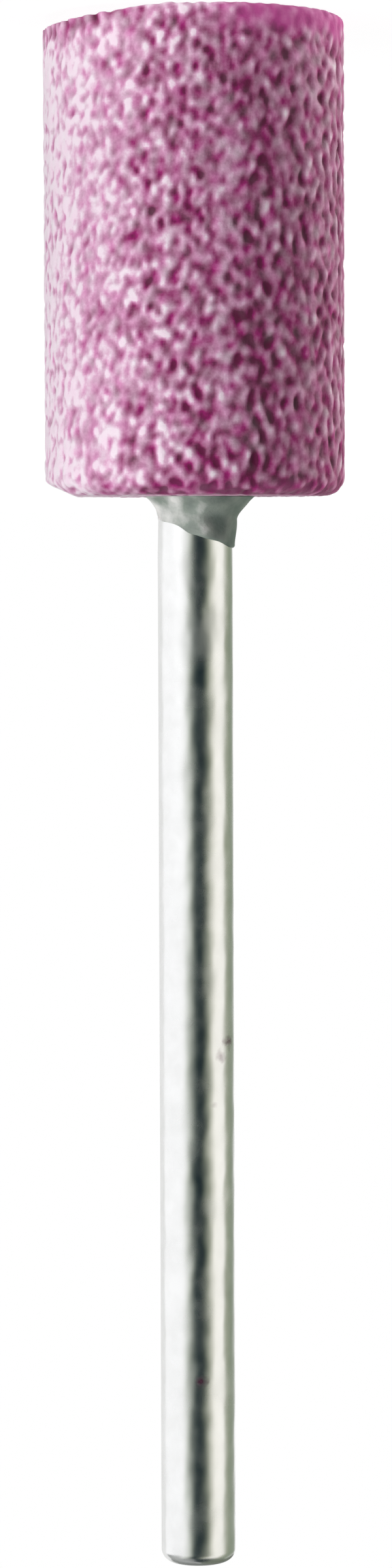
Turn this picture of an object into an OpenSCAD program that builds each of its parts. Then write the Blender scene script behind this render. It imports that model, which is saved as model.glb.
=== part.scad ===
// Mounted point: a vitrified abrasive cylinder cemented onto a ground steel shank.
// Millimetres. The tool stands on its head: the stone's flat front face lies on z = 0
// and the shank rises along +Z. The origin is the centre of that face.

/* [Stone] */
// Diameter of the abrasive cylinder
stone_d = 12; // [10:0.5:20]
// Length of the abrasive cylinder
stone_l = 19; // [14:0.5:32]
// Edge radius at the front face, which does the end grinding
front_edge_r = 0.35; // [0.2:0.05:1]
// Edge radius at the rear face, where the shank leaves
rear_edge_r = 0.8; // [0.2:0.05:1.2]

/* [Wear of the front face] */
// Where the worn facet begins, from the axis towards +X
wear_start = 0.8; // [0.5:0.1:3]
// How deep the facet has worn at the stone's +X side
wear_depth = 0.55; // [0.1:0.05:0.9]

/* [Shank] */
// Diameter of the shank, the collet size
shank_d = 3; // [2.35:0.05:3.2]
// Length of shank that stands out of the stone
shank_reach = 43; // [25:0.5:60]
// Rounding at the free end of the shank
shank_end_r = 0.5; // [0.1:0.05:0.9]

/* [Seat in the stone] */
// Depth of the blind bore in the stone
bore_depth = 10; // [6:0.5:12]
// Cement gap between the bore and the seated end of the shank
cement_gap = 0.25; // [0.15:0.05:0.5]
// Keying grooves turned in the seated end of the shank
groove_count = 3; // [1:1:4]

/* [Cement bead] */
// Width of the bead on the stone's rear face, from the shank outwards
bead_w = 0.72; // [0.5:0.02:0.9]
// Height of the bead above the rear face
bead_h = 1.05; // [0.6:0.05:1.2]
// Radius of the hollow in the bead's flank
bead_hollow_r = 1.8; // [1:0.1:4]
// How far the bead lies off the shank's axis, towards -X
bead_shift = 0.16; // [0.04:0.02:0.2]
// Wall of the cement skirt that crept along the shank, at its foot
skirt_foot_wall = 0.12; // [0.1:0.01:0.2]
// Wall of the skirt where it is longest
skirt_lip_wall = 0.06; // [0.05:0.01:0.09]
// Shortest reach of the skirt, on the +X side
skirt_low = 1.1; // [1:0.05:1.3]
// Longest reach of the skirt, on the -X side
skirt_high = 2.2; // [1.4:0.05:2.6]

/* [Hidden] */
$fn = 96;
eps = 0.01;

stone_r = stone_d / 2;
shank_r = shank_d / 2;
total_l = stone_l + shank_reach;
wear_slope = atan2(wear_depth, stone_r - wear_start);

// The seated end is turned a little under the shank's size and eases up to it under the
// cement, so the free stretch of shank is true to size along all of its length.
seat_relief = 0.04;
seat_r = shank_r - seat_relief;
seat_chamfer = 0.4;
seat_tip_gap = 0.5;
seat_l = bore_depth - seat_tip_gap;
seat_tip_z = stone_l - seat_l;
ease_l = skirt_high + 0.15;

groove_w = 0.8;
groove_depth = 0.2;
groove_tip_gap = 1.6;
groove_pitch = (seat_l - groove_tip_gap) / groove_count;

bore_r = seat_r + cement_gap;
bore_floor_z = stone_l - bore_depth;
bore_point_r = 0.3;
bore_point_h = 0.4;

// The skirt thins evenly from its foot upwards, and lies a little to one side of the shank.
skirt_taper = (skirt_foot_wall - skirt_lip_wall) / skirt_high;
skirt_cone_h = 1.2 * skirt_high;
skirt_cone_r = shank_r + skirt_foot_wall - skirt_taper * skirt_cone_h;
skirt_shift = skirt_lip_wall / 2;
skirt_mid = (skirt_low + skirt_high) / 2;
skirt_slant = atan2(skirt_high - skirt_low, shank_d);

// The bead's hollow flank is an arc from its foot on the stone to its top, which on the
// -X side ends in the skirt and on the +X side runs out against the shank.
bead_r = shank_r + bead_w;
flank_foot = [bead_r, 0];
flank_top = [shank_r - bead_shift, bead_h];
flank_chord = norm(flank_top - flank_foot);
flank_out = [bead_h, bead_r - flank_top[0]] / flank_chord;
flank_rise = sqrt(pow(bead_hollow_r, 2) - pow(flank_chord / 2, 2));
flank_centre = (flank_foot + flank_top) / 2 + flank_out * flank_rise;

// The waste that a rounding of radius r takes off a square corner; its arc is centred on
// the origin and the corner points to +X and +Y.
module corner_waste(r) {
    difference() {
        square(r + eps);
        circle(r);
    }
}

// The abrasive cylinder: softer at the rear edge than at the front, with a blind bore and
// a facet worn across one side of the front face.
module stone() {
    color("#b9679f")
    difference() {
        rotate_extrude() stone_half_section();
        bore();
        worn_facet();
    }
}

module stone_half_section() {
    difference() {
        square([stone_r, stone_l]);
        translate([stone_r - front_edge_r, front_edge_r])
            mirror([0, 1]) corner_waste(front_edge_r);
        translate([stone_r - rear_edge_r, stone_l - rear_edge_r])
            corner_waste(rear_edge_r);
    }
}

// The blind bore, with the shallow point of the pin that moulds it.
module bore() {
    translate([0, 0, bore_floor_z]) cylinder(r = bore_r, h = bore_depth);
    translate([0, 0, bore_floor_z - bore_point_h])
        cylinder(r1 = bore_point_r, r2 = bore_r, h = bore_point_h);
}

// What has worn off the front face: everything below a plane that rises towards +X.
module worn_facet() {
    translate([wear_start, -stone_d, 0])
        rotate([0, -wear_slope, 0])
            translate([0, 0, -stone_r]) cube([stone_d, 2 * stone_d, stone_r]);
}

// The ground steel shank, with its grooved seat inside the stone and a rounded free end.
module shank() {
    color("silver") shank_solid();
}

module shank_solid() {
    difference() {
        union() {
            seat();
            translate([0, 0, stone_l]) cylinder(r1 = seat_r, r2 = shank_r, h = ease_l);
            free_shank();
        }
        for (i = [0 : groove_count - 1])
            translate([0, 0, seat_tip_z + groove_tip_gap + i * groove_pitch]) groove();
    }
}

// The part of the shank that the cement holds, chamfered at its tip.
module seat() {
    translate([0, 0, seat_tip_z])
        cylinder(r1 = seat_r - seat_chamfer, r2 = seat_r, h = seat_chamfer);
    translate([0, 0, seat_tip_z + seat_chamfer])
        cylinder(r = seat_r, h = seat_l - seat_chamfer);
}

// The part of the shank that a collet grips.
module free_shank() {
    free_l = shank_reach - ease_l;
    translate([0, 0, stone_l + ease_l])
        rotate_extrude()
            difference() {
                square([shank_r, free_l]);
                translate([shank_r - shank_end_r, free_l - shank_end_r])
                    corner_waste(shank_end_r);
            }
}

// The ring of steel that one keying groove removes from the seat.
module groove() {
    difference() {
        cylinder(r = shank_r, h = groove_w);
        translate([0, 0, -eps]) cylinder(r = seat_r - groove_depth, h = groove_w + 2 * eps);
    }
}

// The cement: it fills the bore round the seat, beads up on the rear face and creeps along
// the shank as a thin skirt that is longer on one side.
module cement() {
    color("#87908a")
    difference() {
        union() {
            bore();
            bead();
            skirt();
        }
        shank_solid();
    }
}

// The hollow-sided bead in the corner between the stone and the shank.
module bead() {
    translate([-bead_shift, 0, stone_l])
        rotate_extrude()
            difference() {
                square([bead_r, bead_h]);
                translate(flank_centre) circle(bead_hollow_r);
            }
}

// The thin skirt of cement on the shank, ended by a slanting plane.
module skirt() {
    difference() {
        translate([-skirt_shift, 0, stone_l])
            cylinder(r1 = shank_r + skirt_foot_wall, r2 = skirt_cone_r, h = skirt_cone_h);
        translate([0, 0, stone_l + skirt_mid])
            rotate([0, skirt_slant, 0])
                translate([-stone_r, -stone_r, 0]) cube(stone_d);
    }
}

stone();
shank();
cement();
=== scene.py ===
# %% [markdown]
# # A mounted point: a pink grinding stone on a steel shank
#
# The tool is three pieces: a cylinder of pink abrasive, a ground steel shank that sits in a
# blind bore in the stone, and the grey-green cement that holds the two together. The packed
# model is loaded first, because it fixes every size and place. Its sizes are read back here
# in millimetres, so that later cells follow the model instead of repeating its numbers.

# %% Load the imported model
import math

import bpy
import numpy as np
from mathutils import Matrix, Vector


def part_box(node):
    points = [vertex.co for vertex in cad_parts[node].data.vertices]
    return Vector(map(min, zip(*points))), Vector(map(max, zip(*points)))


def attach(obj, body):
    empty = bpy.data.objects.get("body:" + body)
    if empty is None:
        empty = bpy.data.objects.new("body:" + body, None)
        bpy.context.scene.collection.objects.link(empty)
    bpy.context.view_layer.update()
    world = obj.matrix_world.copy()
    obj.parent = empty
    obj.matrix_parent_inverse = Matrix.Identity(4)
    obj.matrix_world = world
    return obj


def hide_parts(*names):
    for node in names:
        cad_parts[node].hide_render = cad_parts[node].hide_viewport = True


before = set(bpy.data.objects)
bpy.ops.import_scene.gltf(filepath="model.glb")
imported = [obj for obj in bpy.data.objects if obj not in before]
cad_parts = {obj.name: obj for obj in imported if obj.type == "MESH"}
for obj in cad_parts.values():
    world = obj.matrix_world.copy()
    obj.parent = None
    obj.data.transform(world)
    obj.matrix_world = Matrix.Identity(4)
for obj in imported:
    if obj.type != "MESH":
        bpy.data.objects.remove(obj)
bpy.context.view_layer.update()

MM = 0.001
stone_high = np.array(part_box("stone")[1]) / MM
shank_low, shank_high = (np.array(corner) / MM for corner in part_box("shank"))
cement_low = np.array(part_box("cement")[0]) / MM

stone_r, stone_l = stone_high[0], stone_high[2]
shank_r, tool_l = shank_high[0], shank_high[2]
print(f"stone {2 * stone_r:.2f} by {stone_l:.2f} mm")
print(f"shank {2 * shank_r:.2f} mm, tool {tool_l:.2f} mm long")

# %% [markdown]
# ## One way to make every piece
#
# All three pieces are turned shapes, so each one is a grid: rows follow a profile from one
# point on the axis to another, and columns go round the axis. A Screw modifier could spin
# the profile, but then no vertex could be moved by its own amount, and the stone needs that
# for its grains. The profile itself is put together from straight runs and roundings.

# %% Profiles and grids
def straight(start, end, spacing):
    """Points start + t (end - start) for even t from 0 up to, but without, 1."""
    start, end = np.array(start, float), np.array(end, float)
    count = max(1, round(np.linalg.norm(end - start) / spacing))
    return start + (np.arange(count) / count)[:, None] * (end - start)


def rounding(centre, radius, from_deg, to_deg, spacing):
    """Points centre + radius (cos a, sin a) for even angles a, without the last angle."""
    turn = math.radians(to_deg - from_deg)
    count = max(3, round(radius * abs(turn) / spacing))
    angle = math.radians(from_deg) + turn * np.arange(count) / count
    return np.array(centre) + radius * np.stack([np.cos(angle), np.sin(angle)], -1)


def round_the_axis(radius, height, columns):
    """Grid of (r cos a, r sin a, z), with one r and z for a row, or for a row and column."""
    angle = 2 * math.pi * np.arange(columns) / columns
    radius, height = (np.broadcast_to(v if v.ndim == 2 else v[:, None], (len(v), columns))
                      for v in (radius, height))
    return np.stack([radius * np.cos(angle), radius * np.sin(angle), height], -1)


# %% [markdown]
# A grid becomes a mesh in one step. Neighbouring points make quads, the last column joins
# the first, and a fan of triangles closes each end on the axis. So every mesh is watertight
# and its faces point outwards, with nothing to merge or recalculate afterwards.

# %% Mesh from a grid
def turned_piece(name, grid, first_pole, last_pole):
    """Closed mesh of a grid: quads between neighbours, and a fan of triangles to each pole."""
    rows, columns = grid.shape[:2]
    vertices = np.concatenate([grid.reshape(-1, 3), [first_pole, last_pole]]) * MM
    index = np.arange(rows * columns).reshape(rows, columns)
    after = np.roll(index, -1, axis=1)
    quads = np.stack([index[:-1], after[:-1], after[1:], index[1:]], -1).reshape(-1, 4)
    first_fan = np.stack([np.full(columns, rows * columns), after[0], index[0]], -1)
    last_fan = np.stack([index[-1], after[-1], np.full(columns, rows * columns + 1)], -1)
    mesh = bpy.data.meshes.new(name)
    mesh.from_pydata(vertices.tolist(), [],
                     quads.tolist() + first_fan.tolist() + last_fan.tolist())
    mesh.shade_smooth()
    piece = bpy.data.objects.new(name, mesh)
    bpy.context.scene.collection.objects.link(piece)
    print(f"{name}: {len(vertices)} vertices, {2 * len(quads) + 2 * columns} triangles")
    return piece


# %% [markdown]
# ## The stone
#
# The profile starts in the middle of the front face, turns the sharper front edge, runs up
# the side, turns the softer rear edge and goes down into the blind bore. Its rows are close
# on the side, where the grains show, and wide apart in the bore, which nobody sees.

# %% Stone profile
FRONT_EDGE_R = 0.35
REAR_EDGE_R = 0.8
BORE_R = 1.71
BORE_POINT_R = 0.3
BORE_POINT_H = 0.4
FINE, FACE, COARSE = 0.1, 0.21, 1.3
STONE_COLUMNS = 370

bore_tip_z = cement_low[2]
bore_floor_z = bore_tip_z + BORE_POINT_H
stone_profile = np.concatenate([
    straight((FACE, 0), (stone_r - FRONT_EDGE_R, 0), FACE),
    rounding((stone_r - FRONT_EDGE_R, FRONT_EDGE_R), FRONT_EDGE_R, -90, 0, FINE),
    straight((stone_r, FRONT_EDGE_R), (stone_r, stone_l - REAR_EDGE_R), FINE),
    rounding((stone_r - REAR_EDGE_R, stone_l - REAR_EDGE_R), REAR_EDGE_R, 0, 90, FINE),
    straight((stone_r - REAR_EDGE_R, stone_l), (BORE_R, stone_l), FINE),
])
outside_rows = len(stone_profile)
stone_profile = np.concatenate([
    stone_profile,
    straight((BORE_R, stone_l), (BORE_R, bore_floor_z), COARSE),
    straight((BORE_R, bore_floor_z), (BORE_POINT_R, bore_tip_z), COARSE / 2),
    [(BORE_POINT_R, bore_tip_z)],
])
stone_smooth = round_the_axis(stone_profile[:, 0], stone_profile[:, 1], STONE_COLUMNS)
print(f"stone profile: {len(stone_profile)} rows, {outside_rows} of them outside")

# %% [markdown]
# The stone is no longer a perfect cylinder. Grinding has worn its front face lower on the
# +X side, and the rear edge there has been knocked to a wider bevel. Both are planes, and a
# plain maximum or minimum with the plane would cut them. It would also leave a knife edge
# and lay several rows on one line, so a smooth maximum is used, which rounds the edge.

# %% Wear of the front face and the rear edge
WEAR_START, WEAR_DEPTH, WEAR_ROUND = 0.8, 0.55, 0.2
BEVEL_WIDTH, BEVEL_DEPTH, BEVEL_ROUND = 1.25, 0.55, 0.3
NO_WIDTH = 1e-6


def smooth_max(first, second, width):
    """Maximum of two values, rounded off where they differ by less than width."""
    h = np.clip(0.5 + 0.5 * (first - second) / np.maximum(width, NO_WIDTH), 0, 1)
    return second + (first - second) * h + width * h * (1 - h)


x, z = stone_smooth[..., 0], stone_smooth[..., 2]
outside = (np.arange(len(stone_profile)) < outside_rows)[:, None]
wear = np.clip(x - WEAR_START, 0, None) * WEAR_DEPTH / (stone_r - WEAR_START)
bevel = np.clip(x - (stone_r - BEVEL_WIDTH), 0, None) * BEVEL_DEPTH / BEVEL_WIDTH
worn = smooth_max(z, wear, np.minimum(wear, WEAR_ROUND))
worn = stone_l - smooth_max(stone_l - worn, bevel, np.minimum(bevel, BEVEL_ROUND))
stone_smooth[..., 2] = np.where(outside, worn, z)
print(f"worn by up to {wear.max():.2f} mm in front, bevelled by {bevel.max():.2f} mm behind")

# %% [markdown]
# ## Grains and pores
#
# A vitrified stone is crushed grains fused by a glassy bond, with pores between them. Up
# close it is a pale, curly network of grains round dark pits, a little longer along the
# axis than across it. A noise texture could paint this on a smooth cylinder, but the
# relief would not be there. A sum of many waves, all of about one length and in random
# directions, has just this look: crests that wind about and hollows of one size. It is a
# plain formula, so it can give the height of the surface and its colour from one number.

# %% Random waves
WAVE_COUNT = 120
LENGTH_SPREAD = (0.8, 1.2)


def wave_field(points, across, along, seed):
    """Sum of cos(k . p + phase) over random waves, scaled so that its variance is 1.

    k = 2 pi u / length for random unit vectors u, with the wave's length across in x and y
    and along in z, and a fifth more or less for each wave.
    """
    random = np.random.default_rng(seed)
    heading = random.normal(0, 1, (WAVE_COUNT, 3))
    heading /= np.linalg.norm(heading, axis=1, keepdims=True)
    heading *= random.uniform(*LENGTH_SPREAD, (WAVE_COUNT, 1))
    k = 2 * math.pi * heading / [across, across, along]
    phase = random.uniform(0, 2 * math.pi, WAVE_COUNT)
    return np.cos(points @ k.T + phase).sum(-1) * math.sqrt(2 / WAVE_COUNT)


# %% [markdown]
# Use and light have left marks on the stone, and each one is a mask from 0 to 1. The +X side,
# where the light comes from, is paler: pale grinding dust and painted sheen. It is thinner
# behind, and along the front edge. On the -X side a band at the front edge is rubbed smooth,
# less so behind. The ring at the rear edge, where there is little dust and sheen, is partly
# rubbed and partly painted shade. One slightly leaning streak on that side is painted shade.
# The masks could be painted by hand, but a few smooth steps in x, y and z say the same, and a
# slow wave keeps their borders from being straight.

# %% Dust and sheen, rubbed places and painted shade
PATCH_ACROSS, PATCH_ALONG, PATCH_SEED = 1.7, 2.5, 5
DUST_SHEEN_FROM, DUST_SHEEN_TO, DUST_SHEEN_WAVER = -2.55, 5.6, 0.3
DUST_SHEEN_BEHIND, DUST_SHEEN_FADE = (0.5, 4.5), 0.6
FRONT_BAND, FRONT_THIN_SIDE, FRONT_THIN_SHARE = 1.2, (0.5, 4.0), 0.62
RUB_SIDE, RUB_BAND, RUB_WAVER = (0.2, 2.5), (0.5, 1.5), 0.15
RUB_BEHIND, RUB_FADE = (-1.0, 4.0), 0.75
REAR_BAND, REAR_RING, REAR_WAVER = (-0.8, -0.05), (4.6, 5.4), 0.1
REAR_RUB, REAR_COVER = 0.35, 0.9
SHADE_BAND_X, SHADE_BAND_LEAN, SHADE_BAND_WIDTH, SHADE_BAND_WAVER = -3.1, 0.04, 1.0, 0.2


def ease(value, low, high):
    """Smooth step: 0 below low, 1 above high, 3t^2 - 2t^3 between."""
    t = np.clip((value - low) / (high - low), 0, 1)
    return t * t * (3 - 2 * t)


x, y, z = np.moveaxis(stone_smooth, -1, 0)
off_axis = np.hypot(x, y)
broad = wave_field(stone_smooth, PATCH_ACROSS, PATCH_ALONG, PATCH_SEED)

near_front = ease(wear - z, -FRONT_BAND, 0)
# Pale dust and painted sheen on the +X side, where the light comes from; less of it along the
# front edge and behind.
dust_and_sheen = np.clip((x + DUST_SHEEN_WAVER * broad - DUST_SHEEN_FROM) / (DUST_SHEEN_TO - DUST_SHEEN_FROM), 0, 1)
dust_and_sheen *= 1 - FRONT_THIN_SHARE * near_front * ease(x, *FRONT_THIN_SIDE)
dust_and_sheen *= 1 - DUST_SHEEN_FADE * ease(y, *DUST_SHEEN_BEHIND)

front_rub = ease(-x, *RUB_SIDE) * (1 - ease(z + RUB_WAVER * broad, *RUB_BAND))
front_rub *= 1 - RUB_FADE * ease(y, *RUB_BEHIND)
# Rubbed ring at the rear edge, which is also painted shade where the edge turns away from the
# light.
rear_rub_and_shade = ease(z - stone_l + REAR_WAVER * broad, *REAR_BAND) * ease(off_axis, *REAR_RING)
rear_rub_and_shade *= 1 - REAR_COVER * dust_and_sheen
rub = np.where(outside, np.maximum(front_rub, REAR_RUB * rear_rub_and_shade), 0)
# Painted shade: a dark, slightly leaning streak between the reach of the main light and the rim
# light.
shade_band = np.exp(-((x - SHADE_BAND_X - SHADE_BAND_LEAN * z + SHADE_BAND_WAVER * broad) / SHADE_BAND_WIDTH) ** 2)
print(f"mean dust {dust_and_sheen.mean():.2f}, rub {rub.mean():.2f}, bare streak {shade_band.mean():.2f}")

# %% [markdown]
# Now the grains. Two sets of waves are added: the grains, and a finer grit between them. A
# Displace modifier could push the surface in and out by a texture, but this relief only goes
# inwards. A stone is dressed to size, so its highest grains share one smooth surface and the
# outline stays straight, while the pits go down between them. The relief is shallower under
# the dust and sheen and where the stone is rubbed, and it dies out at the cement, which fills
# the pores.

# %% Grain relief
GRAIN_ACROSS, GRAIN_ALONG, GRAIN_SEED = 0.54, 0.72, 3
GRIT_ACROSS, GRIT_ALONG, GRIT_SEED = 0.34, 0.42, 11
GRIT_SHARE = 0.40
RELIEF_DEPTH, RELIEF_TOP, TOP_HARDNESS = 0.04, 1.0, 2
RUB_LEVELS, DUST_SHEEN_LEVELS = 0.5, 0.3
BEAD_RING = (2.3, 2.9)

grain = wave_field(stone_smooth, GRAIN_ACROSS, GRAIN_ALONG, GRAIN_SEED)
grit = wave_field(stone_smooth, GRIT_ACROSS, GRIT_ALONG, GRIT_SEED)


def grain_with_grit(share):
    """Grain plus a share of grit, scaled so that its variance stays 1."""
    return (grain + share * grit) / np.hypot(1, share)


below_top = RELIEF_TOP - grain_with_grit(GRIT_SHARE)
below_top = np.logaddexp(0, TOP_HARDNESS * below_top) / TOP_HARDNESS
levelled = 1 - RUB_LEVELS * rub - DUST_SHEEN_LEVELS * dust_and_sheen
depth = np.where(outside, RELIEF_DEPTH * below_top * levelled * ease(off_axis, *BEAD_RING), 0)

tangent = np.gradient(stone_profile, axis=0)
tangent /= np.linalg.norm(tangent, axis=-1, keepdims=True)
normal = round_the_axis(tangent[:, 1], -tangent[:, 0], STONE_COLUMNS)
stone_grid = stone_smooth - normal * depth[..., None]
stone_grid[..., 2] = np.clip(stone_grid[..., 2], 0, stone_l)
stone = turned_piece("grinding_stone", stone_grid, (0, 0, 0), (0, 0, bore_tip_z))
print(f"pits go down to {depth.max():.2f} mm")

# %% [markdown]
# The colour comes from the same waves, so a pit is darker the deeper it is: partly the
# magenta of the bond, partly painted shade. The mesh carries three numbers at each vertex for
# the material to read. The tone runs from a deep pit to white powder and sheen. The rub is the
# mask from above. The hue makes single grains a little more or less pink than the next one.
# The dust and sheen lift the tone, show finer specks and soften the contrast. The contrast
# also changes across the stone as painted light: it is low on the brightly lit +X side and
# strongest on the clean grains in the middle of the picture. The middle of the front edge is
# painted lighter, and the rear ring and the leaning streak are painted darker, as shade.

# %% Tone of the grains
TONE_MID, TONE_SWING, PATCH_TONE = 0.445, 0.16, 0.036
SWING_START, SWING_SHADE_BAND = 0.98, 0.13
SWING_STEPS = [(0.14, -4.5, -3.0), (0.18, -2.5, 0.8), (-0.6, 0.5, 4.7), (0.35, 4.4, 5.8)]
DUST_SHEEN_SPECKS, DUST_SHEEN_LIFT = 0.6, 0.51
FRONT_LIGHT_X, FRONT_LIGHT_WIDTH, FRONT_PAINTED_LIGHT = 0.2, 1.7, 0.24
REAR_SHADE, SHADE_BAND_DARKNESS = 0.43, 0.09
HUE_SEED = 8


def vertex_values(piece, name, values, pole_value):
    """Store one number a vertex under a name; both poles take pole_value."""
    stored = piece.data.attributes.new(name, "FLOAT", "POINT")
    numbers = np.append(values.ravel(), [pole_value] * 2)
    stored.data.foreach_set("value", numbers.astype(np.float32))


# Contrast by side is painted light: low on the brightly lit +X side, higher where the light
# slants.
swing = SWING_START + SWING_SHADE_BAND * shade_band
swing = swing + sum(step * ease(x, low, high) for step, low, high in SWING_STEPS)
speck = grain_with_grit(GRIT_SHARE + DUST_SHEEN_SPECKS * dust_and_sheen)
# The dust and sheen lift is pale dust and painted sheen.
tone = TONE_MID + TONE_SWING * swing * speck + DUST_SHEEN_LIFT * dust_and_sheen ** 2 + PATCH_TONE * broad
# Painted light along the middle of the front edge.
tone += FRONT_PAINTED_LIGHT * near_front * np.exp(-((x - FRONT_LIGHT_X) / FRONT_LIGHT_WIDTH) ** 2)
# Painted shade: the rear ring and the leaning streak are made darker.
tone -= REAR_SHADE * rear_rub_and_shade + SHADE_BAND_DARKNESS * shade_band
vertex_values(stone, "tone", tone, 0.5)
vertex_values(stone, "rub", rub, 0.0)
vertex_values(stone, "hue", wave_field(stone_smooth, GRAIN_ACROSS, GRAIN_ALONG, HUE_SEED), 0.0)
print(f"tone {tone[:outside_rows].mean():.2f} on average, spread {tone[:outside_rows].std():.2f}")

# %% [markdown]
# ## The shank
#
# A plain ground pin. Inside the stone its seat is a little under size, with a chamfered tip
# and three keying grooves that the cement grips. The cement follows this same profile from
# the other side, so it is kept by itself.

# %% Seat of the shank
SEAT_RELIEF = 0.04
SEAT_CHAMFER = 0.4
GROOVE_COUNT, GROOVE_W, GROOVE_DEPTH, GROOVE_TIP_GAP = 3, 0.8, 0.2, 1.6

seat_r = shank_r - SEAT_RELIEF
seat_tip_z = shank_low[2]
groove_r = seat_r - GROOVE_DEPTH
groove_pitch = (stone_l - seat_tip_z - GROOVE_TIP_GAP) / GROOVE_COUNT
groove_z = seat_tip_z + GROOVE_TIP_GAP + groove_pitch * np.arange(GROOVE_COUNT)
groove_corners = [(seat_r, 0), (groove_r, 0), (groove_r, GROOVE_W), (seat_r, GROOVE_W)]
grooves = np.stack([
    np.stack([np.full(GROOVE_COUNT, r), groove_z + rise], -1) for r, rise in groove_corners
], 1).reshape(-1, 2)
seat_profile = np.concatenate([
    [(seat_r - SEAT_CHAMFER, seat_tip_z), (seat_r, seat_tip_z + SEAT_CHAMFER)],
    grooves,
    [(seat_r, stone_l)],
])
print(f"seat {stone_l - seat_tip_z:.2f} mm long, with grooves at", groove_z.round(2).tolist())

# %% [markdown]
# Outside the stone a short taper under the cement brings the shank to full size. Then come
# forty millimetres for the collet and a rounded free end. Nothing on it is displaced. Its
# marks are far finer than a vertex grid and are left to the material.

# %% Free length of the shank
EASE_L = 2.35
SHANK_END_R = 0.5
SHANK_COLUMNS = 192
SHANK_ROW, SHANK_END_ROW, SHANK_FACE_ROW = 0.5, 0.05, 0.25


def shank_radius(height):
    """Radius at a height above the stone: from the seat's size to full size over EASE_L."""
    return seat_r + SEAT_RELIEF * np.clip((height - stone_l) / EASE_L, 0, 1)


end_centre = (shank_r - SHANK_END_R, tool_l - SHANK_END_R)
shank_profile = np.concatenate([
    seat_profile,
    straight((shank_r, stone_l + EASE_L), (shank_r, tool_l - SHANK_END_R), SHANK_ROW),
    rounding(end_centre, SHANK_END_R, 0, 90, SHANK_END_ROW),
    straight((shank_r - SHANK_END_R, tool_l), (0, tool_l), SHANK_FACE_ROW),
])
shank_grid = round_the_axis(shank_profile[:, 0], shank_profile[:, 1], SHANK_COLUMNS)
shank = turned_piece("steel_shank", shank_grid, (0, 0, seat_tip_z), (0, 0, tool_l))

# %% [markdown]
# ## The cement
#
# The cement fills the bore, squeezes out as a bead in the corner and creeps along the shank
# as a thin skirt. It was pressed in by hand, so it is uneven: wider and longer on the -X
# side, hollow only on the other, with a notch in its lip there. It is turned like the rest,
# but each column has its own foot, flank and lip. All of them follow from how heavy the
# cement is on that side, and from a few ripples round the shank.

# %% Outline of the bead and skirt
BEAD_W, BEAD_SHIFT, BEAD_H, BEAD_LIGHT_SHARE = 0.70, 0.2, 0.92, 0.8
SKIRT_LOW, SKIRT_HIGH = 1.06, 2.03
SKIRT_WALL, SKIRT_WALL_SHIFT = 0.13, 0.07
NOTCH_TURN, NOTCH_SIDE, NOTCH_DROP = 0.6, (0.66, 0.9), 0.16
RIPPLES = [(3, 0.5, 0.4), (5, 0.35, 2.1), (9, 0.25, 4.0)]
FOOT_RIPPLE, LIP_RIPPLE, WALL_RIPPLE = 0.045, 0.05, 0.015
LIP_OFFSET, WALL_OFFSET = 50, 90
CEMENT_COLUMNS = 240

turn = 2 * math.pi * np.arange(CEMENT_COLUMNS) / CEMENT_COLUMNS
heavy = (1 - np.cos(turn)) / 2
notch = ease(np.cos(turn + NOTCH_TURN), *NOTCH_SIDE)
ripple = sum(size * np.cos(count * turn + phase) for count, size, phase in RIPPLES)

foot_r = shank_r + BEAD_W - BEAD_SHIFT * np.cos(turn) + FOOT_RIPPLE * ripple
flank_top_z = stone_l + BEAD_H * (BEAD_LIGHT_SHARE + (1 - BEAD_LIGHT_SHARE) * heavy)
lip_z = stone_l + SKIRT_LOW + (SKIRT_HIGH - SKIRT_LOW) * heavy
lip_z += LIP_RIPPLE * np.roll(ripple, LIP_OFFSET) - NOTCH_DROP * notch
skirt_wall = SKIRT_WALL + SKIRT_WALL_SHIFT * (2 * heavy - 1)
skirt_wall += WALL_RIPPLE * np.roll(ripple, WALL_OFFSET)
print(f"bead foot {foot_r.min():.2f} to {foot_r.max():.2f} mm from the axis, "
      f"skirt to {lip_z.max() - stone_l:.2f} mm")

# %% [markdown]
# The rows go up the hollow flank of the bead, along the thinning skirt, over its rounded lip
# and back down against the shank, so that the skirt has a real wall.

# %% Rows of the bead and skirt
FLANK_ROWS, SKIRT_ROWS, LIP_ROWS = 18, 16, 6
FLANK_HOLLOW, FLANK_FILL = 1.9, 0.55
LIP_H, LIP_THIN = 0.14, 0.5

t = (np.arange(FLANK_ROWS) / FLANK_ROWS)[:, None]
flank_z = stone_l + (flank_top_z - stone_l) * t
flank_top_r = shank_radius(flank_top_z) + skirt_wall
flank_r = flank_top_r + (foot_r - flank_top_r) * (1 - t) ** (FLANK_HOLLOW - FLANK_FILL * heavy)

t = (np.arange(SKIRT_ROWS) / SKIRT_ROWS)[:, None]
skirt_z = flank_top_z + (lip_z - LIP_H - flank_top_z) * t
skirt_r = shank_radius(skirt_z) + skirt_wall * (1 - LIP_THIN * t)

t = np.sin(np.arange(LIP_ROWS + 1) / LIP_ROWS * math.pi / 2)[:, None]
lip_rows_z = lip_z - LIP_H + LIP_H * t
lip_r = shank_radius(lip_rows_z) + (1 - LIP_THIN) * skirt_wall * np.sqrt(1 - t ** 2)

t = (np.arange(1, SKIRT_ROWS) / SKIRT_ROWS)[:, None]
inner_z = lip_z + (stone_l - lip_z) * t
inner_r = shank_radius(inner_z)

free_r = np.concatenate([flank_r, skirt_r, lip_r])
free_z = np.concatenate([flank_z, skirt_z, lip_rows_z])
print(f"{len(free_r)} rows outside and {len(inner_r)} against the shank")

# %% [markdown]
# The lumps are random waves again, longer than the stone's. They fade to nothing at the foot
# and the lip, where the cement meets the stone and the shank, so no gap opens there. Below
# the bead the mesh lines the bore, and inside it follows the seat of the shank.

# %% Cement mesh
LUMP_LENGTH, LUMP_DEPTH, LUMP_SEED = 0.9, 0.02, 21
FOOT_ROWS = 5

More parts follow.
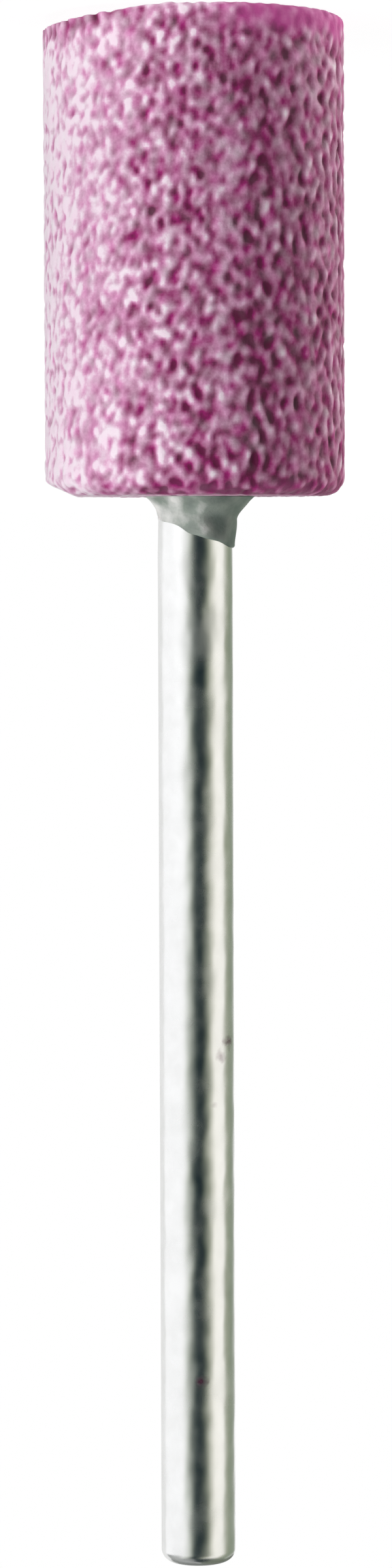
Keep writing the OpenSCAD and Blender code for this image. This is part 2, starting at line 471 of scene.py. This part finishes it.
row = np.arange(len(free_r))[:, None]
held = np.minimum(ease(row, 0, FOOT_ROWS), ease(len(row) - row, 1, LIP_ROWS))
free_grid = round_the_axis(free_r, free_z, CEMENT_COLUMNS)
lumps = wave_field(free_grid, LUMP_LENGTH, LUMP_LENGTH, LUMP_SEED)
bore_profile = np.concatenate([
    [(BORE_POINT_R, bore_tip_z)],
    straight((BORE_R, bore_floor_z), (BORE_R, stone_l), COARSE),
    [(BORE_R, stone_l)],
])
cement_r, cement_z = (
    np.concatenate([np.repeat(bore_profile[:, [k]], CEMENT_COLUMNS, 1), rows, inner,
                    np.repeat(seat_profile[::-1, [k]], CEMENT_COLUMNS, 1)])
    for k, rows, inner in [(0, free_r + LUMP_DEPTH * held * lumps, inner_r), (1, free_z, inner_z)]
)
cement_grid = round_the_axis(cement_r, cement_z, CEMENT_COLUMNS)
cement = turned_piece("cement_bead", cement_grid, (0, 0, bore_tip_z), (0, 0, seat_tip_z))

# %% [markdown]
# The mesh carries one number for the cement's colour too. It is painted light and shade:
# lighter on lumps than in hollows, and paler on the +X side, where the light comes from, than
# on the other, most of all towards the lip.

# %% Tone of the cement
LUMP_PAINTED_SHADE = 1 / 11
PAINTED_LIGHT_FOOT, PAINTED_LIGHT_LIP = 0.33, 0.38

climb = (free_z - stone_l) / (lip_z - stone_l)
# Painted light on the +X side and painted shade on the -X side.
painted_light_side = (PAINTED_LIGHT_FOOT + (PAINTED_LIGHT_LIP - PAINTED_LIGHT_FOOT) * climb) * np.cos(turn)
painted_shading_tone = np.full(cement_r.shape, 0.5)
# Lumps lighter than hollows is painted shade; the side term is painted light.
painted_shading_tone[len(bore_profile):len(bore_profile) + len(lumps)] += LUMP_PAINTED_SHADE * lumps + painted_light_side
vertex_values(cement, "painted_shading", painted_shading_tone, 0.5)
print(f"cement tone {painted_shading_tone.min():.2f} to {painted_shading_tone.max():.2f}")

# %% [markdown]
# ## Joining the pieces to the model
#
# The tool has no joint, so every piece rides on the one body. Each piece stands for the
# node of the imported model that has its place, and that node is hidden.

# %% Ride and replace
for piece, node, slot in [
    (stone, "stone", "abrasive"), (shank, "shank", "steel"), (cement, "cement", "cement"),
]:
    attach(piece, "root")
    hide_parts(node)
print("three pieces stand for", sorted(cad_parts))

# %% [markdown]
# ## Materials
#
# Materials are made of nodes. They could be wired by hand in the editor, but here a few short
# helpers place and link them, so that each material below reads from top to bottom. Effects
# that more than one material uses are node groups, which are built once.

# %% Node helpers
def place(tree, kind, sockets=None, **settings):
    """Add a node with its properties; sockets maps inputs to a value or to an output."""
    node = tree.nodes.new(kind)
    for name, value in settings.items():
        setattr(node, name, value)
    for key, value in (sockets or {}).items():
        if isinstance(value, bpy.types.NodeSocket):
            tree.links.new(value, node.inputs[key])
        else:
            node.inputs[key].default_value = value
    return node


def maths(tree, operation, first, second):
    """The output of one Math node."""
    return place(tree, "ShaderNodeMath", {0: first, 1: second}, operation=operation).outputs[0]


def spread(tree, value, low, high, to_low, to_high):
    """The output of a Map Range node: low..high becomes to_low..to_high, clamped."""
    return place(tree, "ShaderNodeMapRange", {
        "Value": value, "From Min": low, "From Max": high, "To Min": to_low, "To Max": to_high,
    }).outputs["Result"]


def group(name, inputs, output):
    """A new shader node group with one float output; returns it with its two ends."""
    tree = bpy.data.node_groups.new(name, "ShaderNodeTree")
    for label, kind, default in inputs:
        socket = tree.interface.new_socket(label, in_out="INPUT", socket_type=kind)
        socket.default_value = default
    tree.interface.new_socket(output, in_out="OUTPUT", socket_type="NodeSocketFloat")
    return tree, tree.nodes.new("NodeGroupInput"), tree.nodes.new("NodeGroupOutput")


def use(tree, shared, sockets):
    """The output of a shared group placed in a material."""
    return place(tree, "ShaderNodeGroup", sockets, node_tree=shared).outputs[0]


# %% [markdown]
# Every surface here is uneven in a soft, cloudy way, at its own scale: the tone inside a
# grain, the dust on the cement, the grinding of the steel. One group serves them all, a noise
# on Object coordinates, which stay fixed to the piece. Its period is in metres.

# %% Shared group: cloudy mottle
MOTTLE_ROUGHNESS = 0.55

mottle, ends_in, ends_out = group(
    "cloudy_mottle",
    [("Stretch", "NodeSocketVector", (1, 1, 1)), ("Period", "NodeSocketFloat", 1 * MM),
     ("Detail", "NodeSocketFloat", 2.0)],
    "Value",
)
position = place(mottle, "ShaderNodeTexCoord").outputs["Object"]
stretched = place(mottle, "ShaderNodeVectorMath", {0: position, 1: ends_in.outputs["Stretch"]},
                  operation="MULTIPLY").outputs[0]
noise = place(mottle, "ShaderNodeTexNoise", {
    "Vector": stretched,
    "Scale": maths(mottle, "DIVIDE", 1.0, ends_in.outputs["Period"]),
    "Detail": ends_in.outputs["Detail"],
    "Roughness": MOTTLE_ROUGHNESS,
}).outputs["Fac"]
mottle.links.new(noise, ends_out.inputs["Value"])
print("group", mottle.name, "has", len(mottle.nodes), "nodes")

# %% [markdown]
# Small stains and a dull patch are single things at known places, so a noise can't make
# them. This group is a spot round a given point. The mottle is added to the distance from
# that point, which frays the spot's edge.

# %% Shared group: ragged spot
FRAY, SPOT_EDGE = 0.7, 1.3

ragged_spot, ends_in, ends_out = group(
    "ragged_spot",
    [("Centre", "NodeSocketVector", (0, 0, 0)), ("Radius", "NodeSocketFloat", 0.3 * MM),
     ("Ragged", "NodeSocketFloat", 0.25 * MM)],
    "Mask",
)
position = place(ragged_spot, "ShaderNodeTexCoord").outputs["Object"]
away = place(ragged_spot, "ShaderNodeVectorMath", {0: position, 1: ends_in.outputs["Centre"]},
             operation="DISTANCE").outputs["Value"]
away = maths(ragged_spot, "DIVIDE", away, ends_in.outputs["Radius"])
frayed = use(ragged_spot, mottle, {"Period": ends_in.outputs["Ragged"], "Detail": 2.0})
away = maths(ragged_spot, "ADD", away, spread(ragged_spot, frayed, 0.2, 0.8, -FRAY, FRAY))
ragged_spot.links.new(spread(ragged_spot, away, 0.0, SPOT_EDGE, 1.0, 0.0), ends_out.inputs["Mask"])
print("group", ragged_spot.name, "has", len(ragged_spot.nodes), "nodes")

# %% [markdown]
# The materials need four helpers of their own. A mesh's number reaches its material through
# an Attribute node, which the Object coordinates of a texture could not replace, because
# they know nothing of the grains. A ramp turns the number into colour, linear as the
# renderer wants it.

# %% Material helpers
def material(name):
    """A new material, with its node tree and its Principled shader."""
    made = bpy.data.materials.new(name)
    made.use_nodes = True
    return made, made.node_tree, made.node_tree.nodes["Principled BSDF"]


def attribute(tree, name):
    """The value that a piece's vertices carry under a name."""
    return place(tree, "ShaderNodeAttribute", attribute_name=name).outputs["Fac"]


def colours(tree, value, stops):
    """The colour output of a Color Ramp with the given (position, linear colour) stops."""
    node = place(tree, "ShaderNodeValToRGB", {"Fac": value})
    marks = node.color_ramp.elements
    while len(marks) < len(stops):
        marks.new(0.5)
    for mark, (at, colour) in zip(marks, stops):
        mark.position, mark.color = at, (*colour, 1)
    return node.outputs["Color"]


def mixed(tree, factor, first, second):
    """The colour output of a Mix node from first to second, whose sockets are 6 and 7."""
    ends = {0: factor, 6: first, 7: second}
    return place(tree, "ShaderNodeMix", ends, data_type="RGBA").outputs[2]


# %% [markdown]
# The abrasive reads the tone that the mesh carries. Pits are deep magenta, darkest at the
# bottom, which is painted shade, the bond is pink, and the grains that stand proud or lie
# under the dust and sheen are nearly white. The hue makes single grains more or less
# saturated, rubbed places, and part of the painted shade of the rear ring, turn to one smooth
# magenta, and a fine mottle breaks the tone inside each grain. Fused alumina is glassy, so its
# refractive index is high, and the powdered surface scatters light at a glancing angle, which
# is what sheen is for.

# %% Abrasive: colour
# PIT, the darkest stop, holds the magenta of the bond and painted shade at the bottom of the pits.
PIT, MAGENTA, PINK = (0.135, 0.009, 0.056), (0.335, 0.054, 0.176), (0.495, 0.175, 0.332)
PALE, POWDER_AND_SHEEN = (0.75, 0.39, 0.592), (0.99, 0.81, 0.915)
GRAIN_STOPS = [(0.10, PIT), (0.30, MAGENTA), (0.50, PINK), (0.74, PALE), (0.96, POWDER_AND_SHEEN)]
RUBBED, RUBBED_SHARE = (0.68, 0.10, 0.40), 0.6
HUE_SWING, HUE_REACH = 0.12, 3
MOTTLE_TONE = 0.06

abrasive, tree, shader = material("abrasive_grain")
fine = use(tree, mottle, {"Period": 0.12 * MM, "Detail": 3.0})
grain_tone = maths(tree, "ADD", attribute(tree, "tone"),
                   spread(tree, fine, 0.25, 0.75, -MOTTLE_TONE, MOTTLE_TONE))
saturation = spread(tree, attribute(tree, "hue"), -HUE_REACH, HUE_REACH,
                    1 - HUE_REACH * HUE_SWING, 1 + HUE_REACH * HUE_SWING)
body = place(tree, "ShaderNodeHueSaturation", {
    "Saturation": saturation, "Color": colours(tree, grain_tone, GRAIN_STOPS)}).outputs["Color"]
# The rub carries part of the rear ring, which is painted shade as well as rubbed.
rubbed = attribute(tree, "rub")
body = mixed(tree, maths(tree, "MULTIPLY", rubbed, RUBBED_SHARE), body, (*RUBBED, 1))
tree.links.new(body, shader.inputs["Base Color"])
print("abrasive colour:", len(tree.nodes), "nodes")

# %% [markdown]
# Pale grains are freshly broken and shine a little, and pits are dull. The rubbed band is
# smeared, so it is duller again. The fine mottle is also a bump, far below a grain's size.

# %% Abrasive: roughness and bump
PIT_ROUGH, GRAIN_ROUGH, RUBBED_ROUGH = 0.85, 0.4, 0.4
ALUMINA_IOR, POWDER_SHEEN = 1.6, 0.15

rough = spread(tree, grain_tone, 0.2, 0.8, PIT_ROUGH, GRAIN_ROUGH)
rough = maths(tree, "ADD", rough, maths(tree, "MULTIPLY", rubbed, RUBBED_ROUGH))
tree.links.new(rough, shader.inputs["Roughness"])
gritty = place(tree, "ShaderNodeBump", {"Height": fine, "Strength": 0.6, "Distance": 0.03 * MM})
tree.links.new(gritty.outputs["Normal"], shader.inputs["Normal"])
shader.inputs["IOR"].default_value = ALUMINA_IOR
shader.inputs["Sheen Weight"].default_value = POWDER_SHEEN
shader.inputs["Sheen Roughness"].default_value = 0.5
stone.data.materials.append(abrasive)
print("abrasive:", len(tree.nodes), "nodes")

# %% [markdown]
# The cement is a dull grey-green, dusty and crumbly. A plain grey would look like plastic, so
# its tone follows the painted light and shade that the mesh carries, a mottle adds the dust,
# and a finer one is the bump of the crumbs.

# %% Cement material
CEMENT_STOPS = [(0.1, (0.13, 0.175, 0.15)), (0.5, (0.305, 0.36, 0.31)), (0.95, (0.95, 0.97, 0.92))]
DUSTY_TONE = 0.09

cement_finish, tree, shader = material("cement_grey")
dusty = use(tree, mottle, {"Period": 0.3 * MM, "Detail": 4.0})
cement_tone = maths(tree, "ADD", spread(tree, dusty, 0.25, 0.75, -DUSTY_TONE, DUSTY_TONE),
                    attribute(tree, "painted_shading"))
tree.links.new(colours(tree, cement_tone, CEMENT_STOPS), shader.inputs["Base Color"])
tree.links.new(spread(tree, dusty, 0.2, 0.8, 0.7, 0.9), shader.inputs["Roughness"])
crumbs = use(tree, mottle, {"Period": 0.15 * MM, "Detail": 3.0})
crumbly = place(tree, "ShaderNodeBump", {"Height": crumbs, "Strength": 0.7, "Distance": 0.04 * MM})
tree.links.new(crumbly.outputs["Normal"], shader.inputs["Normal"])
cement.data.materials.append(cement_finish)
print("cement:", len(tree.nodes), "nodes")

# %% [markdown]
# The shank is bare ground steel, so its colour is almost all reflection. What is its own is a
# cloudy change from bright to slightly duller steel, and a few brown stains. An image could
# hold the stains, but a spot at a height and a bearing on the surface needs none. A stain is
# no longer bare metal, so the metallic value goes down with it.

# %% Steel: colour and stains
STEEL_STOPS = [(0.3, (0.91, 0.915, 0.915)), (0.65, (0.975, 0.98, 0.985))]
STAIN, STAIN_COVER, STAIN_RAGGED = (0.17, 0.075, 0.115), 2.0, 0.4
STAINS = [  # height, bearing, radius, strength
    (54.45, 5, 0.25, 0.6),
    (40.85, 56, 0.26, 0.5),
    (41.35, 40, 0.22, 0.25),
    (43.3, 27, 0.12, 0.12),
]


def spot_on_shank(tree, height, bearing, radius, ragged):
    """Mask of a spot on the shank, at (-r sin b, -r cos b, height) for a bearing b."""
    b = math.radians(bearing)
    centre = np.array([-shank_r * math.sin(b), -shank_r * math.cos(b), height]) * MM
    return use(tree, ragged_spot, {
        "Centre": centre.tolist(), "Radius": radius * MM, "Ragged": ragged * MM})


steel, tree, shader = material("ground_steel")
clouds = use(tree, mottle, {"Period": 0.9 * MM, "Detail": 3.0})
body = colours(tree, clouds, STEEL_STOPS)
metal = 1.0
for height, bearing, radius, strength in STAINS:
    stained = spot_on_shank(tree, height, bearing, radius, STAIN_RAGGED)
    stained = maths(tree, "MULTIPLY", stained, strength)
    body = mixed(tree, maths(tree, "MULTIPLY", stained, STAIN_COVER), body, (*STAIN, 1))
    metal = maths(tree, "SUBTRACT", metal, maths(tree, "MULTIPLY", stained, stained))
tree.links.new(body, shader.inputs["Base Color"])
tree.links.new(metal, shader.inputs["Metallic"])
print("steel colour:", len(tree.nodes), "nodes,", len(STAINS), "stains")

# %% [markdown]
# What makes it look ground is its roughness and the small tilts of its surface. Haze and one
# dull patch near the stone blur the reflections here and there. A slow swell makes the edges
# of each reflected stripe waver, and very fine rings are left by the grinding wheel.

# %% Steel: roughness and bump
CLOUD_ROUGH, HAZE_ROUGH, PATCH_ROUGH = (0.16, 0.22), 0.11, 0.13
DULL_PATCH = (24.2, 8, 1.7, 1.2)  # height, bearing, radius, raggedness

haze = use(tree, mottle, {"Stretch": (1.0, 1.0, 0.8), "Period": 1.4 * MM, "Detail": 2.0})
dulled = spot_on_shank(tree, *DULL_PATCH)
rough = maths(tree, "ADD", spread(tree, clouds, 0.3, 0.7, *CLOUD_ROUGH),
              spread(tree, haze, 0.35, 0.65, 0.0, HAZE_ROUGH))
rough = maths(tree, "ADD", rough, maths(tree, "MULTIPLY", dulled, PATCH_ROUGH))
tree.links.new(rough, shader.inputs["Roughness"])

swell = use(tree, mottle, {"Stretch": (1.0, 1.0, 0.6), "Period": 1.1 * MM, "Detail": 1.0})
waver = place(tree, "ShaderNodeBump", {"Height": swell, "Strength": 1.0, "Distance": 0.06 * MM})
rings = use(tree, mottle, {"Stretch": (0.04, 0.04, 1.0), "Period": 0.06 * MM, "Detail": 2.0})
ground = place(tree, "ShaderNodeBump", {
    "Height": rings, "Strength": 0.1, "Distance": 0.004 * MM, "Normal": waver.outputs["Normal"]})
tree.links.new(ground.outputs["Normal"], shader.inputs["Normal"])
shank.data.materials.append(steel)
print("steel:", len(tree.nodes), "nodes")

# %% [markdown]
# ## The studio
#
# The tool stands on its front face on a white floor, in front of white. Polished steel shows
# its whole surroundings, so the light is built as a photographer would build it, from curved
# sheets round the tool that the camera can't see. A sheet is a path carried round the axis
# between two bearings, which go from the camera's side, -Y, towards -X. It only gives light,
# in colours that may change across it, so a soft edge needs no extra geometry.

# %% Sheets that give light
SCREEN_RADIUS, SCREEN_BEND, SCREEN_LIFT = 300.0, 60.0, 0.4
SCREEN_COLUMNS = 33
FLAT_ROW, BEND_ROW, TALL_ROW = 20.0, 12.0, 30.0


def wall(inner, top):
    """Path of (distance, height) points: along the floor from inner outwards, then up to top."""
    flat = SCREEN_RADIUS - SCREEN_BEND
    return np.concatenate([
        straight((inner, SCREEN_LIFT), (flat, SCREEN_LIFT), FLAT_ROW),
        rounding((flat, SCREEN_BEND), SCREEN_BEND, -90, 0, BEND_ROW),
        straight((SCREEN_RADIUS, SCREEN_BEND), (SCREEN_RADIUS, top), TALL_ROW),
    ])


def glow(name, stops, strength):
    """A material that only gives light, in colours that change across the sheet."""
    made = bpy.data.materials.new(name)
    made.use_nodes = True
    tree = made.node_tree
    tree.nodes.clear()
    across = colours(tree, attribute(tree, "across"), stops)
    light = place(tree, "ShaderNodeEmission", {"Color": across, "Strength": strength})
    place(tree, "ShaderNodeOutputMaterial", {"Surface": light.outputs[0]})
    return made


def screen(name, path, from_deg, to_deg, lean, stops, strength):
    """A sheet of (-d sin b, -d cos b, h) for (d, h) on the path and bearings b.

    Both bearings change by lean degrees for each millimetre of height.
    """
    bearing = np.radians(np.linspace(from_deg, to_deg, SCREEN_COLUMNS) + lean * path[:, 1:])
    grid = np.stack([-path[:, :1] * np.sin(bearing), -path[:, :1] * np.cos(bearing),
                     np.repeat(path[:, 1:], SCREEN_COLUMNS, 1)], -1) * MM
    index = np.arange(grid[..., 0].size).reshape(grid.shape[:2])
    quads = np.stack([index[:-1, :-1], index[:-1, 1:], index[1:, 1:], index[1:, :-1]], -1)
    mesh = bpy.data.meshes.new(name)
    mesh.from_pydata(grid.reshape(-1, 3).tolist(), [], quads.reshape(-1, 4).tolist())
    mesh.materials.append(glow(name, stops, strength))
    across = np.tile(np.linspace(0, 1, SCREEN_COLUMNS), len(path)).astype(np.float32)
    mesh.attributes.new("across", "FLOAT", "POINT").data.foreach_set("value", across)
    sheet = bpy.data.objects.new(name, mesh)
    bpy.context.scene.collection.objects.link(sheet)
    sheet.visible_camera = False
    sheet.visible_shadow = False
    print(f"{name}: {from_deg} to {to_deg} degrees, strength {strength}")
    return sheet


# %% [markdown]
# The main light is a tall white screen in front, on the left of the picture. Its mirror image
# would be far brighter than the white round the tool, so it is hidden from mirror rays.

# %% White screen
COOL_WHITE = (0.98, 0.975, 1.0)

bright = screen("white_screen", wall(inner=120.0, top=160.0), from_deg=-68, to_deg=-11, lean=0,
                stops=[(0, COOL_WHITE), (1, COOL_WHITE)], strength=4.85)
bright.visible_glossy = False

# %% [markdown]
# The stripes on the shank are mirror images of cards that light nothing else. A dark flag in
# front, with soft edges, makes the dark stripe and then runs out to a warm white. A grey-green
# card follows it behind on the right, and a pale one stands behind on the left. The flag and
# the grey card lean, so their stripes do too. A grey canopy closes the room above. It is what
# the rounded end and the end face show, and without it they would burn out.

# %% Cards for the steel
CARD_INNER, CARD_TOP, CARD_LEAN = 4.0, 420.0, -0.12
CANOPY_RADIUS, CANOPY_FROM, CANOPY_TO = 400.0, 22, 89
FLAG_DARK, CANOPY_GREY = (0.007, 0.017, 0.022), (0.20, 0.21, 0.20)
CARD_PALE = (0.80, 0.80, 0.79)
FLAG_STOPS = [
    (0.024, (0.96, 0.96, 0.95)), (0.118, (0.60, 0.63, 0.57)), (0.197, (0.25, 0.275, 0.235)),
    (0.271, (0.05, 0.07, 0.063)), (0.346, FLAG_DARK), (0.452, FLAG_DARK),
    (0.520, (0.07, 0.09, 0.07)), (0.600, (0.27, 0.29, 0.22)), (0.675, (0.63, 0.63, 0.54)),
    (0.75, (0.96, 0.94, 0.87)), (1.0, (0.96, 0.94, 0.89)),
]
GREY_STOPS = [
    (0.0, (0.62, 0.62, 0.55)), (0.18, (0.30, 0.325, 0.245)), (0.55, (0.225, 0.265, 0.195)),
    (0.85, (0.33, 0.36, 0.30)), (1.0, (0.62, 0.63, 0.60)),
]
CANOPY_STOPS = [
    (0.0, CANOPY_GREY), (0.10, CANOPY_GREY), (0.25, (0.42, 0.43, 0.42)),
    (0.42, (0.22, 0.23, 0.22)), (0.48, FLAG_DARK), (0.58, FLAG_DARK),
    (0.70, (0.16, 0.18, 0.14)), (0.88, (0.14, 0.16, 0.12)), (1.0, CANOPY_GREY),
]

card_path = wall(CARD_INNER, CARD_TOP)
canopy_path = rounding((0, tool_l), CANOPY_RADIUS, CANOPY_FROM, CANOPY_TO, FLAT_ROW)
for name, path, from_deg, to_deg, lean, stops in [
    ("dark_flag", card_path, -34.5, 101, CARD_LEAN, FLAG_STOPS),
    ("grey_card", card_path, 101, 166, CARD_LEAN, GREY_STOPS),
    ("pale_card", card_path, -170, -122, 0, [(0, CARD_PALE), (1, CARD_PALE)]),
    ("dark_canopy", canopy_path, -180, 180, 0, CANOPY_STOPS),
]:
    screen(name, path, from_deg, to_deg, lean, stops, strength=1.0).visible_diffuse = False

# %% [markdown]
# The world is white where the camera, a mirror or glass looks at it. For diffuse light it is
# dim, so the tool keeps its light and dark side. Light Path tells the two apart, and it
# stays in the world and the floor themselves.

# %% World
WORLD_FILL = 0.02


def seen_directly(tree):
    """1 for camera, mirror and glass rays, 0 for the rays of diffuse light."""
    path = place(tree, "ShaderNodeLightPath")
    seen = maths(tree, "MAXIMUM", path.outputs["Is Camera Ray"], path.outputs["Is Glossy Ray"])
    return maths(tree, "MAXIMUM", seen, path.outputs["Is Transmission Ray"])


world = bpy.data.worlds.new("white_room")
world.use_nodes = True
tree = world.node_tree
tree.links.new(spread(tree, seen_directly(tree), 0, 1, WORLD_FILL, 1.0),
               tree.nodes["Background"].inputs["Strength"])
tree.nodes["Background"].inputs["Color"].default_value = (1, 1, 1, 1)
bpy.context.scene.world = world
print("world fill", WORLD_FILL)

# %% [markdown]
# The floor is partly lit and partly glowing, so it comes out white and still keeps a faint
# shadow. For diffuse light only a small disc round the tool glows, which lights the stone
# from below as white paper would. Further off the glow is a little stronger to the eye, so
# the floor runs into the white behind it without a line.

# %% Floor
FLOOR_SIZE = 6.0
FLOOR_COLOUR = (0.5, 0.5, 0.5)
FLOOR_SEEN = 0.8
DISC_EDGE, DISC_GLOW, OUTER_GLOW = (0.007, 0.018), 0.55, 0.03
GLOW_SPAN, GLOW_STRENGTH = (0.02, 0.2), (1.19, 1.3)

half = FLOOR_SIZE / 2
corners = [(-half, -half, 0), (half, -half, 0), (half, half, 0), (-half, half, 0)]
floor_mesh = bpy.data.meshes.new("floor")
floor_mesh.from_pydata(corners, [], [(0, 1, 2, 3)])
floor = bpy.data.objects.new("floor", floor_mesh)
bpy.context.scene.collection.objects.link(floor)

floor_white = bpy.data.materials.new("floor_white")
floor_white.use_nodes = True
tree = floor_white.node_tree
tree.nodes.clear()
position = place(tree, "ShaderNodeTexCoord").outputs["Object"]
distance = place(tree, "ShaderNodeVectorMath", {0: position}, operation="LENGTH").outputs["Value"]
lit = place(tree, "ShaderNodeBsdfDiffuse", {"Color": (*FLOOR_COLOUR, 1)})
glowing = place(tree, "ShaderNodeEmission", {
    "Strength": spread(tree, distance, *GLOW_SPAN, *GLOW_STRENGTH)})
glow_share = maths(tree, "MAXIMUM", maths(tree, "MULTIPLY", seen_directly(tree), FLOOR_SEEN),
                   spread(tree, distance, *DISC_EDGE, DISC_GLOW, OUTER_GLOW))
blend = place(tree, "ShaderNodeMixShader", {
    0: glow_share, 1: lit.outputs[0], 2: glowing.outputs[0]})
place(tree, "ShaderNodeOutputMaterial", {"Surface": blend.outputs[0]})
floor_mesh.materials.append(floor_white)
print("floor", FLOOR_SIZE, "m wide")

# %% [markdown]
# Two small lamps do the rest. A warm one behind on the right draws the light edge down that
# side of the stone, and a weak one overhead reaches the rear face, which the screen can't.

# %% Lamps
def placed(axes, at):
    """The 4 by 4 matrix of an object with these three axes as columns, at a point in metres."""
    return Matrix([[*row, offset] for row, offset in zip(axes, at)] + [[0, 0, 0, 1]])


def lamp(name, bearing, elevation, distance, aim_height, size, power, colour):
    """A square lamp that faces a point on the axis, from a bearing, elevation and distance."""
    b, e = math.radians(bearing), math.radians(elevation)
    towards = np.array([-math.sin(b) * math.cos(e), -math.cos(b) * math.cos(e), math.sin(e)])
    side = np.array([math.cos(b), -math.sin(b), 0])
    data = bpy.data.lights.new(name, "AREA")
    data.size, data.energy, data.color = size, power, colour
    made = bpy.data.objects.new(name, data)
    made.matrix_world = placed(np.stack([side, np.cross(towards, side), towards], -1),
                               towards * distance + [0, 0, aim_height])
    bpy.context.scene.collection.objects.link(made)
    made.visible_glossy = False
    made.visible_camera = False
    print(name, "at", [round(v, 3) for v in made.matrix_world.translation])


lamp("rim_lamp", bearing=123, elevation=0, distance=0.35, aim_height=0.06,
     size=0.2, power=1.6, colour=(1.0, 0.97, 0.92))
lamp("top_lamp", bearing=-40, elevation=75, distance=0.4, aim_height=0.019,
     size=0.25, power=0.48, colour=(1.0, 1.0, 1.0))

# %% [markdown]
# ## The camera
#
# The photograph shows the tool head up, so the camera is upside down here: it looks along
# +Y with -Z upwards in the picture. It stands close and a little nearer the stone, and looks
# slightly towards the shank, which hides both end faces. The picture is 600 by 2400, and the
# focal length was found from the tool's outline, as a share of the picture's height.

# %% Camera
CAMERA_DISTANCE, CAMERA_HEIGHT = 180.0, 20.77
CAMERA_PITCH, CAMERA_ROLL = math.radians(3.10), math.radians(0.202)
FOCAL_SHARE = 6874 / 2400

right, down, forward = np.array([-1.0, 0, 0]), np.array([0, 0, 1.0]), np.array([0, 1.0, 0])
forward, down = (math.cos(CAMERA_PITCH) * forward + math.sin(CAMERA_PITCH) * down,
                 math.cos(CAMERA_PITCH) * down - math.sin(CAMERA_PITCH) * forward)
right, down = (math.cos(CAMERA_ROLL) * right + math.sin(CAMERA_ROLL) * down,
               math.cos(CAMERA_ROLL) * down - math.sin(CAMERA_ROLL) * right)
camera_data = bpy.data.cameras.new("camera")
camera_data.lens = FOCAL_SHARE * camera_data.sensor_width
camera_data.clip_start = 0.01
camera = bpy.data.objects.new("camera", camera_data)
camera.matrix_world = placed(np.stack([right, -down, -forward], -1),
                             np.array([0, -CAMERA_DISTANCE, CAMERA_HEIGHT]) * MM)
bpy.context.scene.collection.objects.link(camera)
bpy.context.scene.camera = camera
bpy.context.scene.view_settings.view_transform = "Standard"
print(f"lens {camera_data.lens:.1f} mm")
